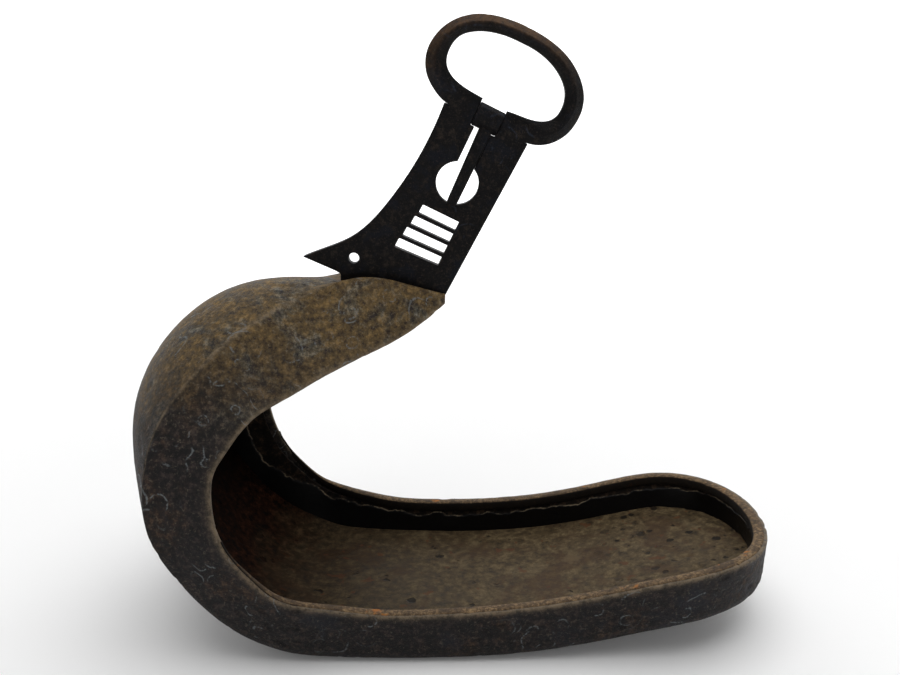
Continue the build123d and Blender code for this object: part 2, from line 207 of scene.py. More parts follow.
def forged(points, depth):
    """Hammered and rusted skin: how far each point sinks, in millimetres. Faint hammer marks of
    22, 7 and 3.2 mm, and pits of 2.4 mm where two noises agree, all scaled by depth."""
    broad = 0.12 * (1 + noise(points, 22.0, 1)) / 2
    dents = 0.12 * (1 + noise(points, 7.0, 2)) / 2
    grain_marks = 0.22 * (1 + noise(points, 3.2, 5)) / 2
    pits = ease(0.25, 0.75, noise(points, 2.4, 3)) * ease(-0.2, 0.4, noise(points, 14.0, 4))
    return depth * (broad + dents + grain_marks + 0.6 * pits)


# ---- meshes ------------------------------------------------------------------------------------

def grid_faces(rows, columns, closed):
    """Quads between neighbouring points of a grid, whose columns may run round in a ring."""
    across = np.arange(columns if closed else columns - 1)
    along = np.arange(rows - 1)[:, None] * columns
    following = (across + 1) % columns
    return np.stack([
        along + across, along + following, along + columns + following, along + columns + across
    ], axis=-1).reshape(-1, 4)


def make_piece(name, points, faces, material, body, replaced, attributes=None, sink=None):
    """One finished piece: points in millimetres in the row frame become a closed mesh whose doubles
    are merged and whose faces point outwards; sink moves each point in along its
    normal, but never below the ground."""
    mesh = bpy.data.meshes.new(name)
    mesh.from_pydata((np.asarray(points).reshape(-1, 3) * MM), [], [list(face) for face in faces])
    for label, values in (attributes or {}).items():
        layer = mesh.attributes.new(label, "FLOAT", "POINT")
        layer.data.foreach_set("value", np.asarray(values, np.float32).ravel())
    shell = bmesh.new()
    shell.from_mesh(mesh)
    bmesh.ops.remove_doubles(shell, verts=shell.verts, dist=0.02 * MM)
    bmesh.ops.dissolve_degenerate(shell, edges=shell.edges, dist=0.005 * MM)
    bmesh.ops.recalc_face_normals(shell, faces=shell.faces)
    shell.to_mesh(mesh)
    shell.free()
    if sink is not None:
        count = len(mesh.vertices)
        place = np.zeros(count * 3)
        normal = np.zeros(count * 3)
        mesh.vertices.foreach_get("co", place)
        mesh.vertices.foreach_get("normal", normal)
        place = place.reshape(-1, 3) / MM
        place -= normal.reshape(-1, 3) * sink(place)[:, None]
        place[:, 2] = np.maximum(place[:, 2], 0.0)
        mesh.vertices.foreach_set("co", (place * MM).ravel())
    mesh.polygons.foreach_set("use_smooth", np.ones(len(mesh.polygons), bool))
    mesh.materials.append(material)
    mesh.update()
    piece = bpy.data.objects.new(name, mesh)
    bpy.context.scene.collection.objects.link(piece)
    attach(piece, body)
    if replaced:
        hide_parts(*replaced)
    return piece


# ---- the shoe's stations -------------------------------------------------------------------------

def ground(x):
    """Height of the sole over the ground: flat at first, then a spline that leaves it level."""
    beyond = [(2 * SOLE_FLAT_END - px, pz) for px, pz in GROUND_LINE[:2]][::-1]
    knots = np.array((*beyond, (SOLE_FLAT_END, 0.0), *GROUND_LINE))
    rise = spline(knots[:, 0], knots[:, 1], np.maximum(x, SOLE_FLAT_END))[:, 0]
    return np.where(x > SOLE_FLAT_END, rise, 0.0)


def foot_plan(heights, xs, steps):
    """Plan outline at given heights: parabolas through three half-widths along the sides, then a
    cubic curve round half the heel. Walls lean outwards, so half-widths grow with height."""
    def lean(base, flare):
        return base + heights * math.tan(math.radians(flare))
    front, waist, side = (lean(*pair) for pair in zip(SIDE_HALF_WIDTH, SIDE_FLARE))
    heel = lean(HEEL_REACH, HEEL_FLARE)
    a, b, c = SIDE_X
    parabola = (
        front * (xs - b) * (xs - c) / ((a - b) * (a - c))
        + waist * (xs - a) * (xs - c) / ((b - a) * (b - c))
        + side * (xs - a) * (xs - b) / ((c - a) * (c - b))
    )
    t = steps
    bend = c + HEEL_SQUARENESS * (heel - c)
    curve_x = (1 - t) ** 3 * c + 3 * t * (1 - t) ** 2 * bend + (3 - 2 * t) * t * t * heel
    curve_y = (1 + 2 * t) * (1 - t) ** 2 * side + 3 * t * t * (1 - t) * HEEL_SQUARENESS * side
    on_side = t <= 0
    return np.where(on_side, xs, curve_x), np.where(on_side, parabola, curve_y)


def knot_stations():
    """Rim, ridge and crest points with crown and radius at every given section, toe first, and the
    first heel stations mirrored past the end so that the spline runs straight across it."""
    turn = np.radians(TOE_SECTIONS[:, 1])
    hub = np.stack([TOE_CENTRE_X + TOE_SECTIONS[:, 0], 0 * turn, 0 * turn + TOE_RADIUS], 1)
    outward = np.stack([np.cos(turn), 0 * turn, np.sin(turn)], 1)
    sideways = np.array((0, TOE_HALF_WIDTH, 0))
    crest = hub + outward * (TOE_RADIUS - TOE_SECTIONS[:, 2:3])
    ridge = hub + outward * (TOE_RADIUS - TOE_SECTIONS[:, 3:4]) + sideways * TOE_SECTIONS[:, 4:5]
    rim = hub + outward * (TOE_RADIUS - TOE_SECTIONS[:, 5:6]) + sideways * TOE_SECTIONS[:, 6:7]
    toe = np.hstack([rim, ridge, crest, TOE_SECTIONS[:, 7:9]])
    xs = np.array((*FOOT_X, *[SIDE_X[2]] * len(HEEL_STEPS)))
    steps = np.array((*[0.0] * len(FOOT_X), *HEEL_STEPS))
    rough_x, _ = foot_plan(np.full(len(xs), 41.0), xs, steps)
    rim_z = spline(*np.array(RIM_LINE).T, rough_x)[:, 0]
    rim_x, rim_y = foot_plan(rim_z, xs, steps)
    low_x, _ = foot_plan(np.zeros(len(xs)), xs, steps)
    low_z = ground(low_x)
    low_x, low_y = foot_plan(low_z, xs, steps)
    front = np.exp(-((low_x - TOE_CENTRE_X) / 16) ** 2)
    flat = np.zeros(len(xs))
    foot = np.stack([
        rim_x, rim_y, rim_z,
        low_x, low_y + 1.2 * front, low_z + 4.0 * front,
        low_x, flat, low_z,
        flat + 6, flat + SOLE_EDGE_RADIUS - 2 * front,
    ], 1)
    beyond = foot[-2:-5:-1].copy()
    beyond[:, (1, 4)] *= -1
    return np.vstack([toe, foot, beyond]), len(toe), len(toe) + len(foot)


def travelled(knots):
    """Distance along the shoe at each station, halfway between its rim and its ridge."""
    middle = (knots[:, :3] + knots[:, 3:6]) / 2
    return np.concatenate([[0], np.cumsum(np.linalg.norm(np.diff(middle, axis=0), axis=1))])


class Stations:
    """Rim, ridge and crest of the shoe's right half at many stations, with the directions needed
    to move them inwards: outward of the side wall, of the crown at the ridge, and of the crest."""

    def __init__(self, count, start=0.0, end=1.0):
        knots, toe_count, last = knot_stations()
        run = travelled(knots)
        self.toe_end = run[toe_count - 1] / run[last - 1]
        self.share = np.linspace(start, end, count)
        at = self.share * run[last - 1]
        step = 0.05
        here = spline(run, knots, at)
        ahead = spline(run, knots, at + step)
        before = spline(run, knots, np.maximum(at - step, 0))
        self.length = run[last - 1]
        self.rim, self.ridge, self.crest = here[:, :3], here[:, 3:6], here[:, 6:9]
        self.crown, self.radius = here[:, 9:10], here[:, 10:11]
        if end == 1.0:
            for points in (self.rim, self.ridge):
                points[-1, 1] = 0.0
        along = unit((ahead - before)[:, :3] + (ahead - before)[:, 3:6])
        self.side = unit(np.cross(self.rim - self.ridge, along))
        crest_along = (ahead - before)[:, 6:9]
        reach = before[:, 6:9] - spline(run, knots, at - 3 * step)[:, 6:9]
        crest_along = np.where(at[:, None] > run[last - 1] - 2, reach, crest_along)
        crest_along[:, 1] = 0
        self.along = unit(crest_along)
        self.out = np.stack([self.along[:, 2], 0 * at, -self.along[:, 0]], 1)
        width = np.maximum(self.ridge[:, 1:2], 0.5)
        slope = self.crown * dot(self.crest - self.ridge, self.out) / width
        sideways = np.array((0.0, 1.0, 0.0))
        self.top = unit(self.out + slope * sideways)
        level = ease(self.toe_end - 0.05, self.toe_end + 0.04, self.share)[:, None]
        self.rim_side = unit(self.side * np.array((1, 1, 0)) * level + self.side * (1 - level))

    def inset(self, side, top):
        """Rim, ridge and crest moved in by one depth from the side wall and another from the crown.
        The ridge goes to where both walls, moved by their depths, meet again."""
        side = np.broadcast_to(np.asarray(side, float).reshape(-1, 1), (len(self.share), 1))
        top = np.broadcast_to(np.asarray(top, float).reshape(-1, 1), (len(self.share), 1))
        turn = dot(self.side, self.top)
        spread = np.maximum(1 - turn * turn, 0.2)
        shift = (self.side * (side - turn * top) + self.top * (top - turn * side)) / spread
        ridge = self.ridge - shift
        ridge[:, 1] = np.maximum(ridge[:, 1], 0.0)
        back = dot(ridge - self.ridge, self.along)
        crest = self.crest - self.out * top + self.along * back
        return self.rim - self.rim_side * side, ridge, crest


def crown_points(ridge, crest, crown, radius, side, along, shares):
    """Points of the crown from beside the rounded ridge (share 1) to the crest (share 0): the
    crest line plus the ridge's offset from it, growing with a power of the distance sideways."""
    half = ridge[:, 1:2]
    reach = np.maximum(half - radius * side[:, 1:2], 0)
    start = crest - along * radius * dot(side, along)
    y = reach * shares
    bend = (np.abs(y) / np.maximum(half, 1e-6)) ** crown
    points = start[:, None, :] + (ridge - crest)[:, None, :] * np.array((1, 0, 1)) * bend[:, :, None]
    points[..., 1] = y
    return points


def round_corner(start, corner, end, count):
    """Rounded corner: a conic from start to end that is pulled towards the corner."""
    t = np.linspace(0, 1, count)[None, :, None]
    pull = 0.8
    parts = ((1 - t) ** 2, 2 * t * (1 - t) * pull, t * t)
    total = sum(parts)
    return (start[:, None] * parts[0] + corner[:, None] * parts[1] + end[:, None] * parts[2]) / total


def shoe_half(stations, rim, ridge, crest, radius, lip, counts):
    """One skin of the shoe's right half, from just under the rim to the crest: straight side,
    rounded ridge, crown. Each station is a row of points."""
    wall_count, corner_count, crown_count = counts
    down = unit(ridge - rim)
    height = np.linalg.norm(ridge - rim, axis=1, keepdims=True)
    radius = np.minimum(radius, np.minimum(0.4 * height, 0.7 * np.maximum(ridge[:, 1:2], 0.01) + 0 * height)
                        + 10 * (stations.share[:, None] > stations.toe_end))
    first = rim + down * lip
    last = ridge - down * radius
    t = np.linspace(0, 1, wall_count)[None, :, None]
    wall = first[:, None] * (1 - t) + last[:, None] * t
    shares = np.linspace(1, 0, crown_count)[None, :]
    panel = crown_points(ridge, crest, stations.crown, radius, stations.side, stations.along, shares)
    corner = round_corner(last, ridge, panel[:, 0], corner_count)
    return np.concatenate([wall, corner[:, 1:], panel[:, 1:]], axis=1)


def rim_lip(outer, inner, down, lip, count=7):
    """Rounded top edge between two skins: half of a squarish ellipse stood on their first points."""
    angle = np.linspace(0, math.pi, count)[None, 1:-1, None]
    wide = np.sign(np.cos(angle)) * np.abs(np.cos(angle)) ** 0.6
    tall = np.sin(angle) ** 0.6
    middle = (outer + inner)[:, None] / 2
    return middle + (outer - inner)[:, None] / 2 * wide - down[:, None] * lip * tall


def mirrored_loop(half):
    """Joins a half section to its mirror image across the middle plane, as one closed ring."""
    other = half[:, ::-1].copy()
    other[..., 1] *= -1
    return np.concatenate([half, other[:, 1:-1]], axis=1)


def end_cap(outer_count, lip_count, ring_count, row_start):
    """Closes the first row of a double skin: quads between the skins, and one face over each lip."""
    half = 2 * outer_count + lip_count
    quads = []
    for side in (0, 1):
        def index(i):
            return row_start + (i if side == 0 else (ring_count - i) % ring_count)
        for i in range(outer_count - 1):
            quads.append([index(i), index(i + 1), index(half - 2 - i), index(half - 1 - i)])
        quads.append([index(i) for i in range(outer_count - 1, outer_count + lip_count + 1)])
    return quads


# ---- materials ----------------------------------------------------------------------------------

def add(tree, kind, *values, out=None, stops=(), **given):
    """Adds a shader node and returns one of its outputs. Values or links fill its inputs in order,
    words with a capital name an input, the others are settings, and stops fill a colour ramp."""
    node = tree.nodes.new("ShaderNode" + kind)
    for key, value in given.items():
        if key.islower():
            setattr(node, key, value)
    inputs = [socket for socket in node.inputs if socket.enabled]
    named = {key.replace("_", " "): value for key, value in given.items() if not key.islower()}
    for socket, value in (*zip(inputs, values), *((node.inputs[key], value) for key, value in named.items())):
        if isinstance(value, bpy.types.NodeSocket):
            tree.links.new(value, socket)
        else:
            socket.default_value = value
    for position, code in stops:
        node.color_ramp.elements.new(position).color = linear(code)
    if stops:
        node.color_ramp.elements.remove(node.color_ramp.elements[0])
        node.color_ramp.elements.remove(node.color_ramp.elements[-1])
    return node.outputs[out] if out else next((socket for socket in node.outputs if socket.enabled), None)


def new_material(name):
    """An empty material with an output, and the Object coordinates that all patterns read."""
    material = bpy.data.materials.new(name)
    material.use_nodes = True
    tree = material.node_tree
    tree.nodes.clear()
    place = add(tree, "TexCoord", out="Object")
    return material, tree, place


def per_metre(millimetres):
    """Pattern scale that gives features of this size."""
    return 1000.0 / millimetres


def clouded(tree, place, below, above, share, size, low, high, detail=6.0, rough=0.65, distortion=0.0):
    """Lays one colour over another, up to a share, in soft clouds of a size in millimetres: they
    begin where the noise passes low and are full where it passes high."""
    clouds = add(tree, "TexNoise", place, per_metre(size), detail, rough, Distortion=distortion)
    cover = add(tree, "MapRange", clouds, low, high, 0.0, share, **SMOOTH)
    return add(tree, "Mix", cover, below, above, **COLOUR)


def scroll_traces(tree, right, up):
    """Thin broken arcs: circles round scattered points of a flat pattern, whose two coordinates
    are in metres, kept only where three noises allow."""
    flat = add(tree, "CombineXYZ", right, up)
    warp = add(tree, "TexNoise", flat, per_metre(9), 2.0, out="Color")
    warp = add(tree, "VectorMath", warp, (0.004, 0.004, 0.0), operation="MULTIPLY")
    flat = add(tree, "VectorMath", flat, warp, operation="ADD")
    lines = 0.0
    for size, smallest in ((21.0, 0.2), (13.0, 0.16)):
        cells = add(tree, "TexVoronoi", flat, per_metre(size), voronoi_dimensions="2D").node.outputs
        chance = add(tree, "SeparateColor", cells["Color"], out="Red")
        radius = add(tree, "Math", chance, 0.2, smallest, operation="MULTIPLY_ADD")
        offset = add(tree, "Math", cells["Distance"], radius, operation="SUBTRACT")
        offset = add(tree, "Math", offset, operation="ABSOLUTE")
        line = add(tree, "MapRange", offset, 0.1 / size, 0.55 / size, 1.0, 0.0, **SMOOTH)
        broken = add(tree, "TexNoise", flat, per_metre(size * 0.6), 2.0, 0.55)
        broken = add(tree, "MapRange", broken, 0.5, 0.58, **SMOOTH)
        line = add(tree, "Math", line, broken, operation="MULTIPLY")
        lines = add(tree, "Math", lines, line, operation="MAXIMUM")
    for size, detail, low, high in ((38, 2.0, 0.47, 0.58), (1.0, 3.0, 0.36, 0.56)):
        kept = add(tree, "TexNoise", flat, per_metre(size), detail, 0.55)
        kept = add(tree, "MapRange", kept, low, high, **SMOOTH)
        lines = add(tree, "Math", lines, kept, operation="MULTIPLY")
    return lines


def forged_iron(colours):
    """Hammer-forged iron, rusted and blackened by age: matt brown rust bloom over the breast, grey-blue scale
    in patches, near-black low on the walls, with thin worn inlay traces, and one pale colour for the rubbing at
    the rim and for a painted highlight along the breast's ridge."""
    material, tree, place = new_material("forged_iron_patina")
    height = add(tree, "SeparateXYZ", place, out="Z")
    crown, wear_and_highlight, run, girth = (
        add(tree, "Attribute", attribute_name=name, out="Fac") for name in ("crown", "wear_and_highlight", "run", "girth")
    )
    fine = add(tree, "TexNoise", place, per_metre(3.0), 10.0, 0.76)
    speck = add(tree, "TexNoise", place, per_metre(1.4), 6.0, 0.8)
    rust = add(tree, "ValToRGB", fine, stops=(
        (0.37, colours["rust_dark"]), (0.51, colours["rust"]), (0.66, colours["rust_bright"]),
    ))
    scale = add(
        tree, "ValToRGB", fine, stops=((0.41, "15151A"), (0.51, colours["scale_blue"]), (0.62, "8A887C")),
    )
    high = clouded(tree, place, rust, scale, 0.85, 21, 0.48, 0.64, 8.0, 0.74, 0.5)
    low = add(tree, "ValToRGB", fine, stops=((0.4, "060506"), (0.51, colours["low_iron"]), (0.62, "403733")))
    brown = add(tree, "ValToRGB", fine, stops=((0.41, "0D0907"), (0.52, "2E2118"), (0.63, "57412F")))
    low = clouded(tree, place, low, brown, 0.6, 27, 0.5, 0.64)
    low = clouded(tree, place, low, linear("1E222B"), 0.45, 33, 0.53, 0.66, 5.0, 0.6, 0.3)
    # The rust starts at a ragged height, a little lower on the crown than on the sides.
    raised = add(tree, "Math", crown, 0.008, height, operation="MULTIPLY_ADD")
    lumps = add(tree, "TexNoise", place, per_metre(40), 4.0, 0.6)
    raised = add(tree, "Math", lumps, 0.08, raised, operation="MULTIPLY_ADD")
    upper = add(tree, "MapRange", raised, 0.132, 0.186, **SMOOTH)
    colour = add(tree, "Mix", upper, low, high, **COLOUR)
    pores = add(tree, "MapRange", speck, 0.47, 0.3, 0.0, 0.6, **SMOOTH)
    colour = add(tree, "Mix", pores, colour, linear("070606"), **COLOUR)
    bright = add(tree, "MapRange", speck, 0.54, 0.66, **SMOOTH)
    share = add(tree, "MapRange", height, 0.06, 0.17, 0.3, 0.55, **SMOOTH)
    bright = add(tree, "Math", bright, share, operation="MULTIPLY")
    colour = add(tree, "Mix", bright, colour, linear("857867"), **COLOUR)
    # Pale colour for the rubbing along the rim and for a painted highlight along the breast's ridge.
    uneven = add(tree, "MapRange", fine, 0.36, 0.6, 0.175, 0.7, **SMOOTH)
    rubbed_and_highlit = add(tree, "Math", wear_and_highlight, uneven, operation="MULTIPLY")
    colour = add(tree, "Mix", rubbed_and_highlit, colour, linear(colours["worn_edge"]), **COLOUR)
    traces = scroll_traces(tree, run, girth)
    share = add(tree, "MapRange", height, 0.02, 0.11, 0.55, 0.6, **SMOOTH)
    share = add(tree, "Math", traces, share, operation="MULTIPLY")
    colour = add(tree, "Mix", share, colour, linear("7D8385"), **COLOUR)
    rough = add(tree, "MapRange", fine, 0.3, 0.7, 0.52, 0.8, **SMOOTH)
    hollows = add(tree, "TexNoise", place, per_metre(2.6), 8.0, 0.75)
    normal = add(tree, "Bump", 1.0, 0.8 * MM, Height=hollows)
    normal = add(tree, "Bump", 0.8, 0.35 * MM, Height=speck, Normal=normal)
    normal = add(tree, "Bump", 0.3, 0.12 * MM, Height=traces, Normal=normal)
    skin = add(tree, "BsdfPrincipled", Base_Color=colour, Metallic=0.55, Roughness=rough, Normal=normal)
    add(tree, "OutputMaterial", Surface=skin)
    return material


def black_iron(name, colours, rust_from, rust_to, grit_mm):
    """Blackened iron: a close near-black skin with blue-black patches and a low sheen, fine pits,
    and brown rust above a height, which keeps off a bar's inward faces, where painted shade darkens them
    towards black."""
    material, tree, place = new_material(name)
    axes = add(tree, "SeparateXYZ", place).node.outputs
    inward = add(tree, "Attribute", attribute_name="inward", out="Fac")
    fine = add(tree, "TexNoise", place, per_metre(3.0), 10.0, 0.78)
    speck = add(tree, "TexNoise", place, per_metre(grit_mm), 6.0, 0.8)
    colour = add(
        tree, "ValToRGB", fine, stops=((0.33, "050506"), (0.52, colours["black_iron"]), (0.7, "3A322B")),
    )
    colour = clouded(tree, place, colour, linear("10141D"), 0.55, 13, 0.5, 0.62)
    ragged = add(tree, "TexNoise", place, per_metre(8), 8.0, 0.75)
    ragged = add(tree, "Math", ragged, 0.03, axes["Z"], operation="MULTIPLY_ADD")
    rust = add(tree, "MapRange", ragged, rust_from, rust_to, **SMOOTH)
    outward = add(tree, "MapRange", inward, 0.3, 0.6, 0.85, 0.102, **SMOOTH)
    rust = add(tree, "Math", rust, outward, operation="MULTIPLY")
    brown = add(
        tree, "ValToRGB", fine, stops=((0.34, "120E0C"), (0.52, colours["ring_rust"]), (0.68, "6B5038")),
    )
    colour = add(tree, "Mix", rust, colour, brown, **COLOUR)
    # Painted shade on the bar's inward faces, darkening them towards black.
    shade = add(tree, "MapRange", inward, 0.55, 0.8, 0.0, 0.7, **SMOOTH)
    colour = add(tree, "Mix", shade, colour, linear("050505"), **COLOUR)
    freckles = add(tree, "MapRange", speck, 0.54, 0.68, 0.0, 0.5, **SMOOTH)
    colour = add(tree, "Mix", freckles, colour, linear("4A3F36"), **COLOUR)
    traces = add(tree, "Math", scroll_traces(tree, axes["X"], axes["Z"]), 0.3, operation="MULTIPLY")
    colour = add(tree, "Mix", traces, colour, linear("3C4656"), **COLOUR)
    rough = add(tree, "MapRange", fine, 0.3, 0.7, 0.42, 0.72, **SMOOTH)
    pits = add(tree, "TexNoise", place, per_metre(2.2), 8.0, 0.72)
    normal = add(tree, "Bump", 0.7, 0.4 * MM, Height=pits)
    normal = add(tree, "Bump", 0.7, 0.25 * MM, Height=speck, Normal=normal)
    skin = add(tree, "BsdfPrincipled", Base_Color=colour, Metallic=0.8, Roughness=rough, Normal=normal)
    add(tree, "OutputMaterial", Surface=skin)
    return material


def rim_iron(colours):
    """Iron edge worn by the shoe and dusted with dry rust: sandy brown on top, with orange spots,
    and darker where it runs out along the toe; painted shade makes its steeper faces nearly black."""
    material, tree, place = new_material("worn_rim_iron")
    axes = add(tree, "SeparateXYZ", place).node.outputs
    fine = add(tree, "TexNoise", place, per_metre(1.5), 10.0, 0.74)
    colour = add(tree, "ValToRGB", fine, stops=((0.36, "33271C"), (0.5, colours["rim"]), (0.66, "957C5A")))
    colour = clouded(tree, place, colour, linear("2F261F"), 0.55, 15, 0.48, 0.62)
    high = add(tree, "MapRange", axes["Z"], 0.034, 0.062, **SMOOTH)
    toe = add(tree, "MapRange", axes["X"], -0.06, -0.03, 0.8, 0.0, **SMOOTH)
    toe = add(tree, "Math", high, toe, operation="MULTIPLY")
    colour = add(tree, "Mix", toe, colour, linear("2A211B"), **COLOUR)
    colour = clouded(tree, place, colour, linear(colours["rust_spot"]), 0.7, 10, 0.62, 0.7, 5.0)
    # Painted shade: the less a face looks up, the nearer black it is made.
    facing = add(tree, "SeparateXYZ", add(tree, "NewGeometry", out="Normal"), out="Z")
    painted_side_shade = add(tree, "MapRange", facing, 0.35, 0.85, 0.95, 0.0, **SMOOTH)
    colour = add(tree, "Mix", painted_side_shade, colour, linear("0D0907"), **COLOUR)
    rough = add(tree, "MapRange", fine, 0.3, 0.7, 0.65, 0.9, **SMOOTH)
    sand = add(tree, "TexNoise", place, per_metre(1.2), 8.0, 0.76)
    skin = add(
        tree, "BsdfPrincipled", Base_Color=colour, Metallic=0.1, Roughness=rough, Specular_IOR_Level=0.2,
        Normal=add(tree, "Bump", 0.9, 0.4 * MM, Height=sand),
    )
    add(tree, "OutputMaterial", Surface=skin)
    return material


def heel_pits(tree, place, along):
    """Pits where the lacquer has blistered: warped spots round scattered points, 5.5 mm apart, in
    clusters at the heel and here and there in front of it."""
    warp = add(tree, "TexNoise", place, per_metre(2.5), 3.0, out="Color")
    warp = add(tree, "VectorMath", warp, (0.0016,) * 3, operation="MULTIPLY")
    warped = add(tree, "VectorMath", place, warp, operation="ADD")
    cells = add(tree, "TexVoronoi", warped, per_metre(5.5)).node.outputs
    chance = add(tree, "SeparateColor", cells["Color"], out="Red")
    reach = add(tree, "Math", chance, 0.55, -0.06, operation="MULTIPLY_ADD")
    spots = add(tree, "Math", cells["Distance"], reach, operation="SUBTRACT")
    spots = add(tree, "MapRange", spots, -0.06, 0.03, 1.0, 0.0, **SMOOTH)
    clusters = add(tree, "TexNoise", place, per_metre(15), 4.0, 0.55)
    clusters = add(tree, "MapRange", clusters, 0.42, 0.52, **SMOOTH)
    heel = add(tree, "MapRange", along, 0.045, 0.11, **SMOOTH)
    clusters = add(tree, "Math", clusters, heel, operation="MULTIPLY")
    sparse = add(tree, "TexNoise", place, per_metre(12), 4.0, 0.55)
    sparse = add(tree, "MapRange", sparse, 0.58, 0.66, **SMOOTH)
    allowed = add(tree, "Math", clusters, sparse, operation="MAXIMUM")
    return add(tree, "Math", spots, allowed, operation="MULTIPLY")


def footbed_lacquer(colours):
    """Old lacquer on wood, trodden dull: olive brown with stains and flakes, pitted near the heel,
    darker and redder where it climbs into the toe, with painted shade towards the front and higher up inside
    the toe."""
    material, tree, place = new_material("trodden_lacquer")
    axes = add(tree, "SeparateXYZ", place).node.outputs
    fine = add(tree, "TexNoise", place, per_metre(4), 12.0, 0.76)
    colour = add(
        tree, "ValToRGB", fine, stops=((0.37, "2C2418"), (0.5, colours["footbed"]), (0.65, "685A42")),
    )
    colour = clouded(tree, place, colour, linear("3C2B1D"), 0.6, 30, 0.5, 0.62, 8.0, 0.7, 0.6)
    colour = clouded(tree, place, colour, linear("7A6B50"), 0.22, 17, 0.55, 0.66, 8.0, 0.7)
    # Painted shade under the toe's hood: darker towards the front.
    front = add(tree, "MapRange", axes["X"], -0.07, 0.05, 0.45, 0.0, **SMOOTH)
    colour = add(tree, "Mix", front, colour, linear("1C150E"), **COLOUR)
    pits = heel_pits(tree, place, axes["X"])
    colour = add(
        tree, "Mix", add(tree, "Math", pits, 0.85, operation="MULTIPLY"), colour, linear("0C0907"), **COLOUR,
    )
    colour = clouded(tree, place, colour, linear("4F2F1B"), 0.6, 7, 0.66, 0.68, 3.0, 0.5)
    climb = add(tree, "TexNoise", place, per_metre(18), 6.0, 0.65)
    climb = add(tree, "Math", climb, 0.03, axes["Z"], operation="MULTIPLY_ADD")
    climb = add(tree, "MapRange", climb, 0.016, 0.04, **SMOOTH)
    toe = add(tree, "MapRange", axes["X"], -0.075, -0.02, 1.0, 0.0, **SMOOTH)
    toe = add(tree, "Math", climb, toe, operation="MULTIPLY")
    inside = add(
        tree, "ValToRGB", fine, stops=((0.4, "080504"), (0.52, colours["toe_inside"]), (0.67, "3C2418")),
    )
    colour = add(tree, "Mix", toe, colour, inside, **COLOUR)
    # Painted shade higher up inside the toe, darkening it nearly to black.
    painted_toe_shade = add(tree, "MapRange", axes["Z"], 0.026, 0.056, 0.0, 0.95, **SMOOTH)
    colour = add(tree, "Mix", painted_toe_shade, colour, linear("070504"), **COLOUR)
    grain = add(tree, "TexNoise", place, per_metre(2.4), 8.0, 0.7)
    normal = add(tree, "Bump", 0.6, 0.4 * MM, Height=grain)
    raised = add(tree, "Math", 1.0, pits, operation="SUBTRACT")
    normal = add(tree, "Bump", 0.8, 0.5 * MM, Height=raised, Normal=normal)
    rough = add(tree, "MapRange", fine, 0.3, 0.7, 0.5, 0.75, **SMOOTH)
    sheen = add(tree, "MapRange", axes["X"], -0.09, -0.01, 0.01, 0.1, **SMOOTH)
    skin = add(
        tree, "BsdfPrincipled", Base_Color=colour, Roughness=rough, Specular_IOR_Level=sheen, Normal=normal,
    )
    add(tree, "OutputMaterial", Surface=skin)
    return material


def wall_lacquer(colours):
    """Glossy black lacquer that has flaked off the upper wall: a torn pale edge where the coat ends
    and bare, brown-dark wood above it."""
    material, tree, place = new_material("flaked_black_lacquer")
    coat = add(tree, "Attribute", attribute_name="coat", out="Fac")
    fine = add(tree, "TexNoise", place, per_metre(3.5), 10.0, 0.75)
    black = add(tree, "ValToRGB", fine, stops=((0.35, "040303"), (0.6, colours["lacquer"]), (0.8, "17100E")))
    bare = add(tree, "ValToRGB", fine, stops=((0.4, "070504"), (0.52, "1A130E"), (0.66, "3E3023")))
    colour = add(tree, "Mix", coat, bare, black, **COLOUR)
    torn = add(tree, "Math", add(tree, "MapRange", coat, 0.02, 0.35, **SMOOTH),
               add(tree, "MapRange", coat, 0.6, 0.98, 1.0, 0.0, **SMOOTH), operation="MULTIPLY")
    broken = add(tree, "TexNoise", place, per_metre(9), 5.0, 0.7)
    broken = add(tree, "MapRange", broken, 0.42, 0.6, 0.0, 0.75, **SMOOTH)
    torn = add(tree, "Math", torn, broken, operation="MULTIPLY")
    colour = add(tree, "Mix", torn, colour, linear("7B6D57"), **COLOUR)
    rough = add(tree, "MapRange", coat, 0.2, 0.9, 0.8, 0.35, **SMOOTH)
    waves = add(tree, "TexNoise", place, per_metre(2.2), 6.0, 0.65)
    skin = add(
        tree, "BsdfPrincipled", Base_Color=colour, Roughness=rough, Specular_IOR_Level=0.18,
        Normal=add(tree, "Bump", 0.35, 0.25 * MM, Height=waves),
    )
    add(tree, "OutputMaterial", Surface=skin)
    return material


# ---- what a user may change --------------------------------------------------------------------

def length(name, description, default_mm):
    """A length property whose default is given in millimetres."""
    return bpy.props.FloatProperty(
        name=name, description=description, default=default_mm * MM, unit="LENGTH", subtype="DISTANCE",
        precision=5,
    )


def colour_code(name, description, default):
    """A colour property kept as an sRGB hex code."""
    return bpy.props.StringProperty(name=name, description=description, default=default, maxlen=6)


class STIRRUP_PG_sizes(bpy.types.PropertyGroup):
    """Sizes of the stirrup's pieces."""

    iron: length("Iron", "Thickness of the forged plate", 3.0)
    lip: length("Lip", "Height over which the iron's rim is rounded", 0.9)
    lining: length("Lining", "Thickness of the lacquered wall lining", 2.3)
    gap: length("Gap", "Air between the iron and the lining", 0.25)
    toe_coat: length("Toe coat", "Thickness of the lacquer inside the toe", 1.5)
    footbed: length("Footbed", "Thickness of the tread board", 6.0)
    rim_width: length("Rim strip width", "Flat width added inside the foot's rim", 3.5)
    rim_height: length("Rim strip height", "Height of the strip inside the rim", 5.0)
    ring_thickness: length(
        "Ring thickness", "Thickness of the buckle ring", (RING_HIGH.y - RING_LOW.y) / MM,
    )
    plate_thickness: length(
        "Plate thickness", "Thickness of the hanger plate", (PLATE_HIGH.y - PLATE_LOW.y) / MM,
    )
    skin: bpy.props.FloatProperty(
        name="Hammered skin", description="Strength of hammer marks and pits", default=1.0, subtype="FACTOR",
    )


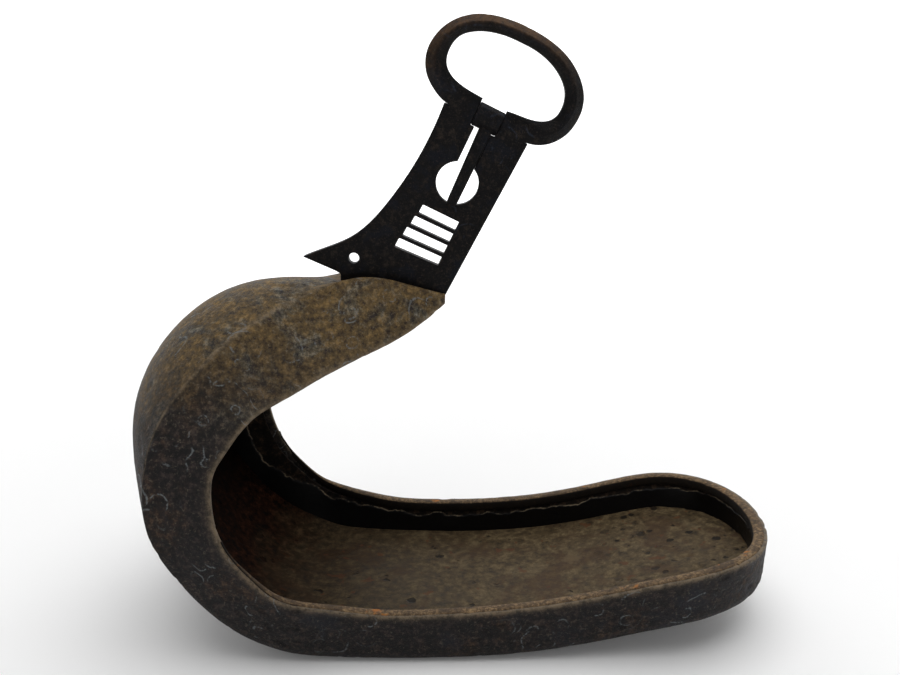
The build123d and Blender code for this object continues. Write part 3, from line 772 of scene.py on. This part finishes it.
class STIRRUP_PG_colours(bpy.types.PropertyGroup):
    """Colours of the stirrup's finishes."""

    rust_dark: colour_code("Dark rust", "Darkest rust on the breast", "211810")
    rust: colour_code("Rust", "Main rust brown of the breast", "5C4A2C")
    rust_bright: colour_code("Bright rust", "Lightest rust on the breast", "92764A")
    scale_blue: colour_code("Scale", "Grey-blue scale patches", "484842")
    low_iron: colour_code("Low iron", "Near-black iron of the lower walls", "191516")
    # Pale colour of the rim's rubbing, also used as a painted highlight along the breast's ridge.
    worn_edge: colour_code("Worn edge", "Rubbed edges and ridges", "8B7A63")
    black_iron: colour_code("Black iron", "Hanger plate, buckle and prong", "0F0E0F")
    ring_rust: colour_code("Ring rust", "Rust on top of the buckle", "4A3624")
    rim: colour_code("Rim", "Worn rim strip", "5E4C38")
    rust_spot: colour_code("Rust spot", "Bright spots on the rim strip", "A9692C")
    footbed: colour_code("Footbed", "Trodden lacquer of the sole", "483C2A")
    toe_inside: colour_code("Toe inside", "Lacquer inside the toe", "21120B")
    lacquer: colour_code("Lacquer", "Black lacquer of the walls", "080606")


def sizes_mm(context):
    """The sizes as plain numbers in millimetres."""
    group = context.scene.stirrup_sizes
    names = STIRRUP_PG_sizes.__annotations__
    return {name: getattr(group, name) / (1 if name == "skin" else MM) for name in names}


def colours_of(context):
    """The colours as hex codes."""
    group = context.scene.stirrup_colours
    return {name: getattr(group, name) for name in STIRRUP_PG_colours.__annotations__}


# ---- pieces --------------------------------------------------------------------------------------

class STIRRUP_OT_shoe(bpy.types.Operator):
    """Iron shoe: breast, side plates, sole and walls as one forged double skin."""

    bl_idname = "stirrup.shoe"
    bl_label = "Iron shoe"

    def execute(self, context):
        size = sizes_mm(context)
        row_count, counts, lip_count = 330, (36, 8, 22), 5
        stations = Stations(row_count)
        outer_lines = stations.inset(0, 0)
        inner_lines = stations.inset(size["iron"], size["iron"])
        thin = np.maximum(stations.radius - 0.6 * size["iron"], 0.7)
        outer = shoe_half(stations, *outer_lines, stations.radius, size["lip"], counts)
        inner = shoe_half(stations, *inner_lines, thin, size["lip"], counts)
        down = unit(stations.ridge - stations.rim)
        lip = rim_lip(outer[:, 0], inner[:, 0], down, size["lip"], lip_count + 2)
        half = np.concatenate([outer[:, ::-1], lip, inner], axis=1)
        ring = mirrored_loop(half)
        wall = np.linspace(0, 1, counts[0])
        outer_count = outer.shape[1]
        height = np.linalg.norm(outer_lines[0] - outer_lines[1], axis=1, keepdims=True)
        near_rim = 0.8 * np.exp(-(wall[None, :] * height / 1.1))
        ridge_at = np.arange(outer_count)[None, :] - (counts[0] + counts[1] / 2 - 1)
        # Painted highlight along the breast's ridge, strongest over one stretch of its run; it shares one
        # attribute with the rubbing near the rim.
        ridge_highlight_span = ease(0.1, 0.17, stations.share) * (1 - ease(0.26, 0.34, stations.share))
        ridge_highlight = 0.7 * np.exp(-(ridge_at / 1.8) ** 2) * ridge_highlight_span[:, None]
        # worn holds both the rubbing near the rim and the painted highlight along the ridge.
        worn = ridge_highlight.copy()
        worn[:, :counts[0]] = np.maximum(worn[:, :counts[0]], near_rim)
        half_wear_and_highlight = np.concatenate([worn[:, ::-1], np.ones((row_count, lip_count)), worn * 0.6], axis=1)
        in_crown = np.broadcast_to(ease(-1.0, 1.0, ridge_at / 3), (row_count, outer_count))
        half_crown = np.concatenate([in_crown[:, ::-1], np.zeros((row_count, lip_count)), in_crown], axis=1)
        run = np.broadcast_to(stations.share[:, None] * stations.length * MM, half.shape[:2])
        across = np.linalg.norm(np.diff(half, axis=1), axis=2)
        girth = np.concatenate([np.zeros((row_count, 1)), np.cumsum(across, axis=1)], axis=1) * MM
        wear_and_highlight, crown, run, girth = (
            np.concatenate([values, values[:, ::-1][:, 1:-1] * sign], axis=1)
            for values, sign in ((half_wear_and_highlight, 1), (half_crown, 1), (run, 1), (girth, -1))
        )
        faces = grid_faces(row_count, ring.shape[1], True).tolist()
        faces += end_cap(outer_count, lip_count, ring.shape[1], 0)
        make_piece(
            "iron_shoe", ring, faces, forged_iron(colours_of(context)), "frame",
            ("breast_plate", "left_side_plate", "right_side_plate", "sole_plate", "left_foot_wall",
             "right_foot_wall", "heel_wall"),
            {"wear_and_highlight": wear_and_highlight, "crown": crown, "run": run, "girth": girth},
            lambda place: forged(place, 0.8 * size["skin"]),
        )
        return {"FINISHED"}


class STIRRUP_OT_rim_strip(bpy.types.Operator):
    """Flat worn strip inside the foot's rim, tapering out along the toe."""

    bl_idname = "stirrup.rim_strip"
    bl_label = "Rim strip"

    def execute(self, context):
        size = sizes_mm(context)
        toe_end = Stations(2).toe_end
        stations = Stations(300, toe_end - 0.1)
        grown = ease(toe_end - 0.1, toe_end + 0.08, stations.share)[:, None]
        depth_out = 1.2
        wide = size["iron"] - depth_out - 0.6 + (size["rim_width"] + 0.6) * grown
        tall = 2.0 + (size["rim_height"] - 2.0) * grown
        outer_edge, _, _ = stations.inset(depth_out, size["iron"])
        inward = -stations.rim_side
        down = unit(stations.ridge - stations.rim)
        down = unit(down * (1 - grown) + np.array((0.0, 0.0, -1.0)) * grown)
        angle = np.linspace(0, 2 * math.pi, 29)[:-1]
        s = (1 - np.sign(np.cos(angle)) * np.abs(np.cos(angle)) ** 0.45) / 2
        t = (1 - np.sign(np.sin(angle)) * np.abs(np.sin(angle)) ** 0.45) / 2
        ring = (outer_edge[:, None] + inward[:, None] * (wide * s)[:, :, None]
                + down[:, None] * (tall * t)[:, :, None])
        crowned = 0.25 * np.sin(np.pi * s) * (t < 0.5)
        ring -= down[:, None] * (0.2 + crowned)[None, :, None]
        columns = ring.shape[1]
        other = ring[::-1].copy()
        other[..., 1] *= -1
        whole = np.concatenate([ring, other[1:]])
        faces = grid_faces(len(whole), columns, True).tolist()
        faces += [list(range(columns)), list(range((len(whole) - 1) * columns, len(whole) * columns))]
        make_piece(
            "rim_band", whole, faces, rim_iron(colours_of(context)), "frame", ("rim_strip",),
            None, lambda place: forged(place, 0.35 * size["skin"]),
        )
        return {"FINISHED"}


class STIRRUP_OT_footbed(bpy.types.Operator):
    """Trodden footbed: the tread board, which climbs into the toe as its inner skin."""

    bl_idname = "stirrup.footbed"
    bl_label = "Footbed"

    def execute(self, context):
        size = sizes_mm(context)
        stations = Stations(240, INSIDE_START)
        climb = ease(stations.toe_end - 0.16, stations.toe_end, stations.share)
        top_depth = size["iron"] + size["gap"] + size["toe_coat"] + (size["footbed"] - size["toe_coat"]) * climb
        side_depth = size["iron"] + size["gap"] + size["lining"] - 0.6
        _, ridge, crest = stations.inset(side_depth, top_depth)
        _, low_ridge, low_crest = stations.inset(side_depth, size["iron"] + size["gap"])
        shares = np.linspace(1, -1, 91)[None, :]
        radius = np.full((len(ridge), 1), 0.01)
        top = crown_points(ridge, crest, stations.crown, radius, stations.side, stations.along, shares)
        low = crown_points(low_ridge, low_crest, stations.crown, radius, stations.side, stations.along, shares)
        low[..., 1] *= np.minimum(1.0, (ridge[:, 1] / np.maximum(low_ridge[:, 1], 1e-6)))[:, None]
        ring = np.concatenate([top, low[:, ::-1]], axis=1)
        columns = ring.shape[1]
        faces = grid_faces(len(ring), columns, True).tolist()
        half = columns // 2
        faces += [[i, i + 1, columns - 2 - i, columns - 1 - i] for i in range(half - 1)]

        def trodden(place):
            heel = ease(45.0, 105.0, place[:, 0]) * (place[:, 2] < 40)
            blister = ease(0.2, 0.7, noise(place, 5.0, 11)) * heel
            pit = ease(0.45, 0.75, noise(place, 3.6, 12)) * (0.15 + 0.85 * heel)
            return size["skin"] * (0.35 * (1 + noise(place, 26.0, 13)) + 0.6 * pit - 0.3 * blister)

        make_piece(
            "footbed", ring, faces, footbed_lacquer(colours_of(context)), "frame",
            ("tread_board", "toe_lining"), None, trodden,
        )
        return {"FINISHED"}


class STIRRUP_OT_wall_lining(bpy.types.Operator):
    """Lacquered lining of the walls, whose coat is torn off along a ragged upper edge."""

    bl_idname = "stirrup.wall_lining"
    bl_label = "Wall lining"

    def execute(self, context):
        size = sizes_mm(context)
        stations = Stations(520, INSIDE_START)
        toe = 1 - ease(stations.toe_end - 0.1, stations.toe_end, stations.share)
        back_depth = size["iron"] + size["gap"]
        rim, ridge, _ = stations.inset(back_depth, back_depth)
        thickness = size["lining"] - 0.8 * toe
        front_rim, front_ridge, _ = stations.inset(back_depth + thickness - 0.6, back_depth)
        steps = 44
        fall = unit(ridge - rim)
        t = np.linspace(0, 1, steps)[None, :, None]
        top_gap = size["rim_height"] - 1.0
        back = (rim + fall * top_gap)[:, None] * (1 - t) + ridge[:, None] * t
        front = (front_rim + fall * (top_gap + 0.2))[:, None] * (1 - t) + front_ridge[:, None] * t
        height = np.linalg.norm(rim - ridge, axis=1)[:, None]
        reach = t[..., 0] * height
        edge = 2.8 + (0.34 + 0.1 * noise(front, 17.0, 25)) * height * toe[:, None] \
            + 1.7 * noise(front * (1, 0.2, 0.05), 9.0, 21) + 0.9 * noise(front, 3.0, 22) \
            + 0.45 * noise(front, 1.2, 23)
        coat = ease(-0.35, 0.35, reach - edge)
        front = front - stations.side[:, None] * (0.6 * coat)[:, :, None]
        ring = np.concatenate([back, front[:, ::-1]], axis=1)
        values = np.concatenate([np.zeros_like(coat), coat[:, ::-1]], axis=1)
        other = ring[::-1].copy()
        other[..., 1] *= -1
        whole = np.concatenate([ring, other[1:]])
        values = np.concatenate([values, values[::-1][1:]])
        columns = ring.shape[1]
        faces = grid_faces(len(whole), columns, True).tolist()
        for first in (0, (len(whole) - 1) * columns):
            faces += [[first + i, first + i + 1, first + columns - 2 - i, first + columns - 1 - i]
                      for i in range(steps - 1)]
        make_piece(
            "wall_lacquer", whole, faces, wall_lacquer(colours_of(context)), "frame",
            ("left_wall_lining", "right_wall_lining", "heel_lining"), {"coat": values},
            lambda place: 0.2 * size["skin"] * (1 + noise(place, 10.0, 24)),
        )
        return {"FINISHED"}


def rounded_polygon(corners, radius, count=4):
    """Closed outline with each corner replaced by a short curve that starts and ends at radius."""
    corners = np.asarray(corners, float)
    before = unit(np.roll(corners, 1, axis=0) - corners)
    after = unit(np.roll(corners, -1, axis=0) - corners)
    start = corners + before * radius
    end = corners + after * radius
    t = np.linspace(0, 1, count)[None, :, None]
    curve = (1 - t) ** 2 * start[:, None] + 2 * t * (1 - t) * corners[:, None] + t * t * end[:, None]
    return curve.reshape(-1, 2)


def plate_point(across, up, out):
    """Row-frame points for distances across the plate, up along it and out to the rider's left."""
    return (PIN + np.asarray(across)[..., None] * ACROSS + np.asarray(up)[..., None] * UP
            + np.asarray(out)[..., None] * OUT)


def capped(rows, columns):
    """Faces of a tube of closed rings with one face over each end."""
    faces = grid_faces(rows, columns, True).tolist()
    return faces + [list(range(columns)), list(range((rows - 1) * columns, rows * columns))]


class STIRRUP_OT_buckle(bpy.types.Operator):
    """Buckle ring: one bevelled bar carried round between two ovals, from horn to horn."""

    bl_idname = "stirrup.buckle"
    bl_label = "Buckle ring"

    def execute(self, context):
        size = sizes_mm(context)
        edges = []
        shares = np.linspace(0, 1, 260)
        for given in (RING_OUTSIDE, RING_INSIDE):
            points = np.array(given)
            turn = np.unwrap(np.arctan2(points[:, 1] - RING_MIDDLE[1], points[:, 0] - RING_MIDDLE[0]))
            knots = (turn - turn[0]) / (turn[-1] - turn[0])
            edges.append(spline(knots, points, shares))
        outside, inside = edges
        from_end = np.minimum(shares, 1 - shares)
        horn = (1 - ease(0.07, 0.13, from_end))[:, None]
        outside[:, 1] -= 1.6 * (1 - ease(0.055, 0.08, from_end))
        thick = size["ring_thickness"] / 2
        flush = (size["plate_thickness"] / 2 + 0.08) / thick
        sections = []
        for corners in (RING_BAR, RING_FOOT):
            both = (*corners, *[(inward, -out) for inward, out in corners[::-1]])
            both = [(inward * BAR_WIDTH, out * thick) for inward, out in both]
            sections.append(rounded_polygon(both, 0.45, 5))
        bar, foot = sections
        outline = bar * (1 - horn[..., None]) + foot * (1, flush) * horn[..., None]
        share = outline[..., 0] / BAR_WIDTH
        place = outside[:, None] * (1 - share[..., None]) + inside[:, None] * share[..., None]
        ring = plate_point(place[..., 0], place[..., 1], outline[..., 1])
        make_piece(
            "strap_ring", ring, capped(*ring.shape[:2]),
            black_iron("blackened_ring_iron", colours_of(context), 0.245, 0.274, 1.0),
            "frame", ("buckle_ring",), {"inward": np.broadcast_to(share, ring.shape[:2])},
            lambda place: forged(place, 0.3 * size["skin"]),
        )
        return {"FINISHED"}


class STIRRUP_OT_prong(bpy.types.Operator):
    """Prong: a chamfered eye on the pin and a tapering shaft with a chisel tip."""

    bl_idname = "stirrup.prong"
    bl_label = "Prong"

    def execute(self, context):
        eye = rounded_polygon(EYE_OUTLINE, 0.5, 4)
        width = EYE_ACROSS[:, None] + 0 * eye[None, :, 0]
        shrink = EYE_SIZE[:, None]
        rings = plate_point(width, eye[None, :, 1] * shrink, eye[None, :, 0] * shrink)
        faces = capped(*rings.shape[:2])
        run = np.clip((SHAFT_DEPTH - 3.0) / 36.3, 0, 1)[:, None]
        wide = 5.7 - 1.4 * run - TIP_NARROWER[:, None]
        thick = 3.4 - 0.8 * run - TIP_THINNER[:, None]
        middle = 1.0 + 2.9 * run - TIP_LOWER[:, None]
        section = rounded_polygon(SHAFT_SECTION, 0.08, 4)
        shaft = plate_point(
            0.95 + 0.5 * run + section[None, :, 0] * wide, -SHAFT_DEPTH[:, None] + 0 * section[None, :, 0],
            middle + section[None, :, 1] * thick,
        )
        first = rings.shape[0] * rings.shape[1]
        faces += [[first + i for i in face] for face in capped(*shaft.shape[:2])]
        points = np.concatenate([rings.reshape(-1, 3), shaft.reshape(-1, 3)])
        material = black_iron("blackened_prong_iron", colours_of(context), 0.3, 0.4, 0.9)
        prong = make_piece("swinging_prong", points, faces, material, "prong", ("prong",))
        prong.data.set_sharp_from_angle(angle=math.radians(35))
        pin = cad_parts["prong_pin"]
        pin.data.materials.clear()
        pin.data.materials.append(material)
        return {"FINISHED"}


class STIRRUP_OT_plate(bpy.types.Operator):
    """Openwork hanger plate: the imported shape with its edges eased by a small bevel."""

    bl_idname = "stirrup.plate"
    bl_label = "Hanger plate"

    def execute(self, context):
        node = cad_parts["hanger_plate"]
        mesh = node.data.copy()
        mesh.name = "openwork_plate"
        shell = bmesh.new()
        shell.from_mesh(mesh)
        bmesh.ops.remove_doubles(shell, verts=shell.verts, dist=0.002 * MM)
        bmesh.ops.dissolve_limit(
            shell, angle_limit=math.radians(0.5), verts=shell.verts, edges=shell.edges,
        )
        shell.to_mesh(mesh)
        shell.free()
        mesh.materials.clear()
        mesh.materials.append(black_iron("blackened_plate_iron", colours_of(context), 0.25, 0.3, 1.1))
        plate = bpy.data.objects.new("openwork_plate", mesh)
        context.scene.collection.objects.link(plate)
        mesh.polygons.foreach_set("use_smooth", np.ones(len(mesh.polygons), bool))
        bevel = plate.modifiers.new("eased_edges", "BEVEL")
        bevel.width = 0.45 * MM
        bevel.segments = 3
        bevel.limit_method = "ANGLE"
        bevel.angle_limit = math.radians(35)
        bevel.harden_normals = True
        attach(plate, "frame")
        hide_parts("hanger_plate")
        return {"FINISHED"}


class STIRRUP_OT_stage(bpy.types.Operator):
    """Plain pale floor that curves up far behind, soft lights and the camera."""

    bl_idname = "stirrup.stage"
    bl_label = "Studio"

    def execute(self, context):
        scene = context.scene
        turn = np.linspace(0, math.pi / 2, 24)
        front = np.array(((-3000.0, 0.0), (1500.0, 0.0)))
        curve = np.stack([1500 + 900 * np.sin(turn), 900 * (1 - np.cos(turn))], 1)
        profile = np.vstack([front, curve[1:], [(2400.0, 3500.0)]])
        x = np.array((-3500.0, 3500.0))
        points = np.stack(np.broadcast_arrays(x[None, :], profile[:, :1], profile[:, 1:]), axis=-1)
        mesh = bpy.data.meshes.new("studio_floor")
        mesh.from_pydata((points.reshape(-1, 3) * MM), [], grid_faces(len(profile), 2, False).tolist())
        mesh.polygons.foreach_set("use_smooth", np.ones(len(mesh.polygons), bool))
        material, tree, place = new_material("pale_paper")
        away = add(tree, "VectorMath", place, operation="LENGTH", out="Value")
        glow = add(tree, "MapRange", away, 0.12, 1.4, 0.05, 0.85, **SMOOTH)
        add(
            tree, "OutputMaterial",
            Surface=add(
                tree, "BsdfPrincipled", Base_Color=linear("F4F4F4"), Roughness=0.9, Specular_IOR_Level=0.1,
                Emission_Color=(1.0, 1.0, 1.0, 1.0), Emission_Strength=glow
            )
        )
        mesh.materials.append(material)
        floor = bpy.data.objects.new("studio_floor", mesh)
        scene.collection.objects.link(floor)
        lights = (
            ("overhead", (0.08, -0.1, 1.2), (0.0, 0.0, 0.08), 1.3, 10.5),
            ("front_left", (-0.9, -0.9, 0.7), (0.0, 0.0, 0.1), 0.9, 0.7),
            ("rear_right", (0.9, 0.7, 0.8), (0.0, 0.0, 0.1), 0.8, 1.4),
        )
        for name, place, target, width, power in lights:
            data = bpy.data.lights.new(name, "AREA")
            data.size = width
            data.energy = power
            light = bpy.data.objects.new(name, data)
            light.location = place
            light.rotation_euler = (Vector(target) - Vector(place)).to_track_quat("-Z", "Y").to_euler()
            scene.collection.objects.link(light)
        world = bpy.data.worlds.new("white_studio")
        world.use_nodes = True
        world.node_tree.nodes["Background"].inputs["Color"].default_value = (1, 1, 1, 1)
        world.node_tree.nodes["Background"].inputs["Strength"].default_value = 0.27
        scene.world = world
        scene.view_settings.view_transform = "Standard"
        camera = bpy.data.objects.new("camera", bpy.data.cameras.new("camera"))
        camera.data.lens = 38.0
        camera.data.clip_start = 0.01
        camera.location = (0.0048, -0.4032, 0.234)
        pitch, yaw = math.radians(14.91), math.radians(-0.77)
        forward = Vector((math.sin(yaw) * math.cos(pitch), math.cos(yaw) * math.cos(pitch), -math.sin(pitch)))
        camera.rotation_euler = forward.to_track_quat("-Z", "Y").to_euler()
        scene.collection.objects.link(camera)
        scene.camera = camera
        return {"FINISHED"}


OPERATORS = (
    STIRRUP_OT_shoe, STIRRUP_OT_rim_strip, STIRRUP_OT_footbed, STIRRUP_OT_wall_lining,
    STIRRUP_OT_plate, STIRRUP_OT_buckle, STIRRUP_OT_prong, STIRRUP_OT_stage,
)


class STIRRUP_PT_panel(bpy.types.Panel):
    """Sidebar panel with the sizes, the colours and one button for each piece."""

    bl_idname = "STIRRUP_PT_panel"
    bl_label = "Iron stirrup"
    bl_space_type = "VIEW_3D"
    bl_region_type = "UI"
    bl_category = "Stirrup"

    def draw(self, context):
        scene = context.scene
        for group in (scene.stirrup_sizes, scene.stirrup_colours):
            for name in type(group).__annotations__:
                self.layout.prop(group, name)
        for operator in OPERATORS:
            self.layout.operator(operator.bl_idname)


CLASSES = (STIRRUP_PG_sizes, STIRRUP_PG_colours, *OPERATORS, STIRRUP_PT_panel)


def register():
    """Makes the properties, operators and panel known to Blender."""
    for cls in CLASSES:
        bpy.utils.register_class(cls)
    bpy.types.Scene.stirrup_sizes = bpy.props.PointerProperty(type=STIRRUP_PG_sizes)
    bpy.types.Scene.stirrup_colours = bpy.props.PointerProperty(type=STIRRUP_PG_colours)


def unregister():
    """Takes them away again."""
    del bpy.types.Scene.stirrup_colours
    del bpy.types.Scene.stirrup_sizes
    for cls in reversed(CLASSES):
        bpy.utils.unregister_class(cls)


def main():
    """Builds every piece in order."""
    register()
    for operator in OPERATORS:
        group, name = operator.bl_idname.split(".")
        getattr(getattr(bpy.ops, group), name)()


if __name__ == "__main__":
    main()
